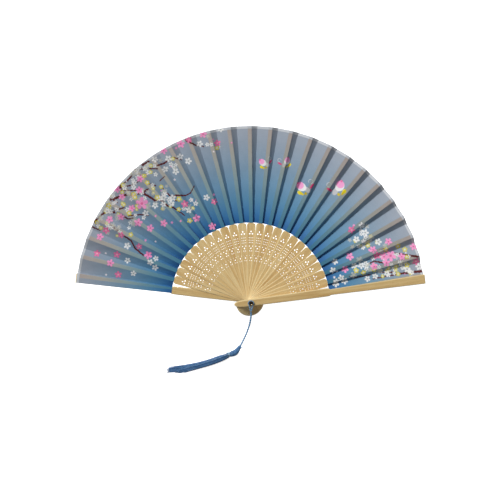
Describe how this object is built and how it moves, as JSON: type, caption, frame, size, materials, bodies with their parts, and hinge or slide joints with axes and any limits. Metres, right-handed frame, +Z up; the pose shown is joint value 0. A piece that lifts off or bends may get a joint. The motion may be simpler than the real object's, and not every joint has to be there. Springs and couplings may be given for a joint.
{
  "type": "hand fan",
  "caption": "Folding hand fan with a pleated, printed silk leaf on pierced bamboo sticks between two guards, turning on a hollow eyelet that carries a cord tassel.",
  "frame": {"origin": "on the pivot axis, in the middle of the stack of blades", "axes": "+X along the width of the open fan, +Z up, and +Y away from the viewer; the fan leans back 17 degrees about X"},
  "size_m": [0.382, 0.133, 0.2358],
  "materials": {
    "bamboo_stick": "natural bamboo, thin clear coat, satin",
    "bamboo_guard": "pale bamboo, polished, satin",
    "silk_leaf": "translucent plain-weave silk shading from grey-blue to deep blue, printed blossom",
    "eyelet_brass": "rolled brass, lightly tarnished",
    "tassel_thread": "twisted viscose thread, silky sheen"
  },
  "bodies": {
    "front_guard": {"front_guard": "bamboo_guard", "eyelet": "eyelet_brass", "back_washer": "eyelet_brass", "cord_loop": "tassel_thread", "tassel_cord": "tassel_thread", "tassel_head": "tassel_thread", "tassel_binding": "tassel_thread", "tassel_skirt": "tassel_thread"},
    "stick_01": {"stick_01": "bamboo_stick", "leaf_01": "silk_leaf"},
    "stick_02": {"stick_02": "bamboo_stick", "leaf_02": "silk_leaf"},
    "stick_03": {"stick_03": "bamboo_stick", "leaf_03": "silk_leaf"},
    "stick_04": {"stick_04": "bamboo_stick", "leaf_04": "silk_leaf"},
    "stick_05": {"stick_05": "bamboo_stick", "leaf_05": "silk_leaf"},
    "stick_06": {"stick_06": "bamboo_stick", "leaf_06": "silk_leaf"},
    "stick_07": {"stick_07": "bamboo_stick", "leaf_07": "silk_leaf"},
    "stick_08": {"stick_08": "bamboo_stick", "leaf_08": "silk_leaf"},
    "stick_09": {"stick_09": "bamboo_stick", "leaf_09": "silk_leaf"},
    "stick_10": {"stick_10": "bamboo_stick", "leaf_10": "silk_leaf"},
    "stick_11": {"stick_11": "bamboo_stick", "leaf_11": "silk_leaf"},
    "stick_12": {"stick_12": "bamboo_stick", "leaf_12": "silk_leaf"},
    "stick_13": {"stick_13": "bamboo_stick", "leaf_13": "silk_leaf"},
    "stick_14": {"stick_14": "bamboo_stick", "leaf_14": "silk_leaf"},
    "stick_15": {"stick_15": "bamboo_stick", "leaf_15": "silk_leaf"},
    "stick_16": {"stick_16": "bamboo_stick", "leaf_16": "silk_leaf"},
    "stick_17": {"stick_17": "bamboo_stick", "leaf_17": "silk_leaf"},
    "stick_18": {"stick_18": "bamboo_stick", "leaf_18": "silk_leaf"},
    "stick_19": {"stick_19": "bamboo_stick", "leaf_19": "silk_leaf"},
    "stick_20": {"stick_20": "bamboo_stick", "leaf_20": "silk_leaf"},
    "stick_21": {"stick_21": "bamboo_stick", "leaf_21": "silk_leaf"},
    "stick_22": {"stick_22": "bamboo_stick", "leaf_22": "silk_leaf"},
    "stick_23": {"stick_23": "bamboo_stick", "leaf_23": "silk_leaf"},
    "back_guard": {"back_guard": "bamboo_guard", "leaf_24": "silk_leaf"}
  },
  "joints": [
    {"name": "fold_01", "type": "hinge", "parent": "front_guard", "child": "stick_01", "pos_m": [0, 0, 0], "axis": [0, 0.9563, -0.2924], "range_deg": [0, 6.8], "deforming": ["leaf_01"]},
    {"name": "fold_02", "type": "hinge", "parent": "stick_01", "child": "stick_02", "pos_m": [0, 0, 0], "axis": [0, 0.9563, -0.2924], "range_deg": [0, 6.8], "deforming": ["leaf_02"]},
    {"name": "fold_03", "type": "hinge", "parent": "stick_02", "child": "stick_03", "pos_m": [0, 0, 0], "axis": [0, 0.9563, -0.2924], "range_deg": [0, 6.8], "deforming": ["leaf_03"]},
    {"name": "fold_04", "type": "hinge", "parent": "stick_03", "child": "stick_04", "pos_m": [0, 0, 0], "axis": [0, 0.9563, -0.2924], "range_deg": [0, 6.8], "deforming": ["leaf_04"]},
    {"name": "fold_05", "type": "hinge", "parent": "stick_04", "child": "stick_05", "pos_m": [0, 0, 0], "axis": [0, 0.9563, -0.2924], "range_deg": [0, 6.8], "deforming": ["leaf_05"]},
    {"name": "fold_06", "type": "hinge", "parent": "stick_05", "child": "stick_06", "pos_m": [0, 0, 0], "axis": [0, 0.9563, -0.2924], "range_deg": [0, 6.8], "deforming": ["leaf_06"]},
    {"name": "fold_07", "type": "hinge", "parent": "stick_06", "child": "stick_07", "pos_m": [0, 0, 0], "axis": [0, 0.9563, -0.2924], "range_deg": [0, 6.8], "deforming": ["leaf_07"]},
    {"name": "fold_08", "type": "hinge", "parent": "stick_07", "child": "stick_08", "pos_m": [0, 0, 0], "axis": [0, 0.9563, -0.2924], "range_deg": [0, 6.8], "deforming": ["leaf_08"]},
    {"name": "fold_09", "type": "hinge", "parent": "stick_08", "child": "stick_09", "pos_m": [0, 0, 0], "axis": [0, 0.9563, -0.2924], "range_deg": [0, 6.8], "deforming": ["leaf_09"]},
    {"name": "fold_10", "type": "hinge", "parent": "stick_09", "child": "stick_10", "pos_m": [0, 0, 0], "axis": [0, 0.9563, -0.2924], "range_deg": [0, 6.8], "deforming": ["leaf_10"]},
    {"name": "fold_11", "type": "hinge", "parent": "stick_10", "child": "stick_11", "pos_m": [0, 0, 0], "axis": [0, 0.9563, -0.2924], "range_deg": [0, 6.8], "deforming": ["leaf_11"]},
    {"name": "fold_12", "type": "hinge", "parent": "stick_11", "child": "stick_12", "pos_m": [0, 0, 0], "axis": [0, 0.9563, -0.2924], "range_deg": [0, 6.8], "deforming": ["leaf_12"]},
    {"name": "fold_13", "type": "hinge", "parent": "stick_12", "child": "stick_13", "pos_m": [0, 0, 0], "axis": [0, 0.9563, -0.2924], "range_deg": [0, 6.8], "deforming": ["leaf_13"]},
    {"name": "fold_14", "type": "hinge", "parent": "stick_13", "child": "stick_14", "pos_m": [0, 0, 0], "axis": [0, 0.9563, -0.2924], "range_deg": [0, 6.8], "deforming": ["leaf_14"]},
    {"name": "fold_15", "type": "hinge", "parent": "stick_14", "child": "stick_15", "pos_m": [0, 0, 0], "axis": [0, 0.9563, -0.2924], "range_deg": [0, 6.8], "deforming": ["leaf_15"]},
    {"name": "fold_16", "type": "hinge", "parent": "stick_15", "child": "stick_16", "pos_m": [0, 0, 0], "axis": [0, 0.9563, -0.2924], "range_deg": [0, 6.8], "deforming": ["leaf_16"]},
    {"name": "fold_17", "type": "hinge", "parent": "stick_16", "child": "stick_17", "pos_m": [0, 0, 0], "axis": [0, 0.9563, -0.2924], "range_deg": [0, 6.8], "deforming": ["leaf_17"]},
    {"name": "fold_18", "type": "hinge", "parent": "stick_17", "child": "stick_18", "pos_m": [0, 0, 0], "axis": [0, 0.9563, -0.2924], "range_deg": [0, 6.8], "deforming": ["leaf_18"]},
    {"name": "fold_19", "type": "hinge", "parent": "stick_18", "child": "stick_19", "pos_m": [0, 0, 0], "axis": [0, 0.9563, -0.2924], "range_deg": [0, 6.8], "deforming": ["leaf_19"]},
    {"name": "fold_20", "type": "hinge", "parent": "stick_19", "child": "stick_20", "pos_m": [0, 0, 0], "axis": [0, 0.9563, -0.2924], "range_deg": [0, 6.8], "deforming": ["leaf_20"]},
    {"name": "fold_21", "type": "hinge", "parent": "stick_20", "child": "stick_21", "pos_m": [0, 0, 0], "axis": [0, 0.9563, -0.2924], "range_deg": [0, 6.8], "deforming": ["leaf_21"]},
    {"name": "fold_22", "type": "hinge", "parent": "stick_21", "child": "stick_22", "pos_m": [0, 0, 0], "axis": [0, 0.9563, -0.2924], "range_deg": [0, 6.8], "deforming": ["leaf_22"]},
    {"name": "fold_23", "type": "hinge", "parent": "stick_22", "child": "stick_23", "pos_m": [0, 0, 0], "axis": [0, 0.9563, -0.2924], "range_deg": [0, 6.8], "deforming": ["leaf_23"]},
    {"name": "fold_24", "type": "hinge", "parent": "stick_23", "child": "back_guard", "pos_m": [0, 0, 0], "axis": [0, 0.9563, -0.2924], "range_deg": [0, 8.4], "deforming": ["leaf_24"]}
  ],
  "couplings": [
    {"joint": "fold_02", "follows": "fold_01", "ratio": 1},
    {"joint": "fold_03", "follows": "fold_01", "ratio": 1},
    {"joint": "fold_04", "follows": "fold_01", "ratio": 1},
    {"joint": "fold_05", "follows": "fold_01", "ratio": 1},
    {"joint": "fold_06", "follows": "fold_01", "ratio": 1},
    {"joint": "fold_07", "follows": "fold_01", "ratio": 1},
    {"joint": "fold_08", "follows": "fold_01", "ratio": 1},
    {"joint": "fold_09", "follows": "fold_01", "ratio": 1},
    {"joint": "fold_10", "follows": "fold_01", "ratio": 1},
    {"joint": "fold_11", "follows": "fold_01", "ratio": 1},
    {"joint": "fold_12", "follows": "fold_01", "ratio": 1},
    {"joint": "fold_13", "follows": "fold_01", "ratio": 1},
    {"joint": "fold_14", "follows": "fold_01", "ratio": 1},
    {"joint": "fold_15", "follows": "fold_01", "ratio": 1},
    {"joint": "fold_16", "follows": "fold_01", "ratio": 1},
    {"joint": "fold_17", "follows": "fold_01", "ratio": 1},
    {"joint": "fold_18", "follows": "fold_01", "ratio": 1},
    {"joint": "fold_19", "follows": "fold_01", "ratio": 1},
    {"joint": "fold_20", "follows": "fold_01", "ratio": 1},
    {"joint": "fold_21", "follows": "fold_01", "ratio": 1},
    {"joint": "fold_22", "follows": "fold_01", "ratio": 1},
    {"joint": "fold_23", "follows": "fold_01", "ratio": 1},
    {"joint": "fold_24", "follows": "fold_01", "ratio": 1.2353}
  ]
}
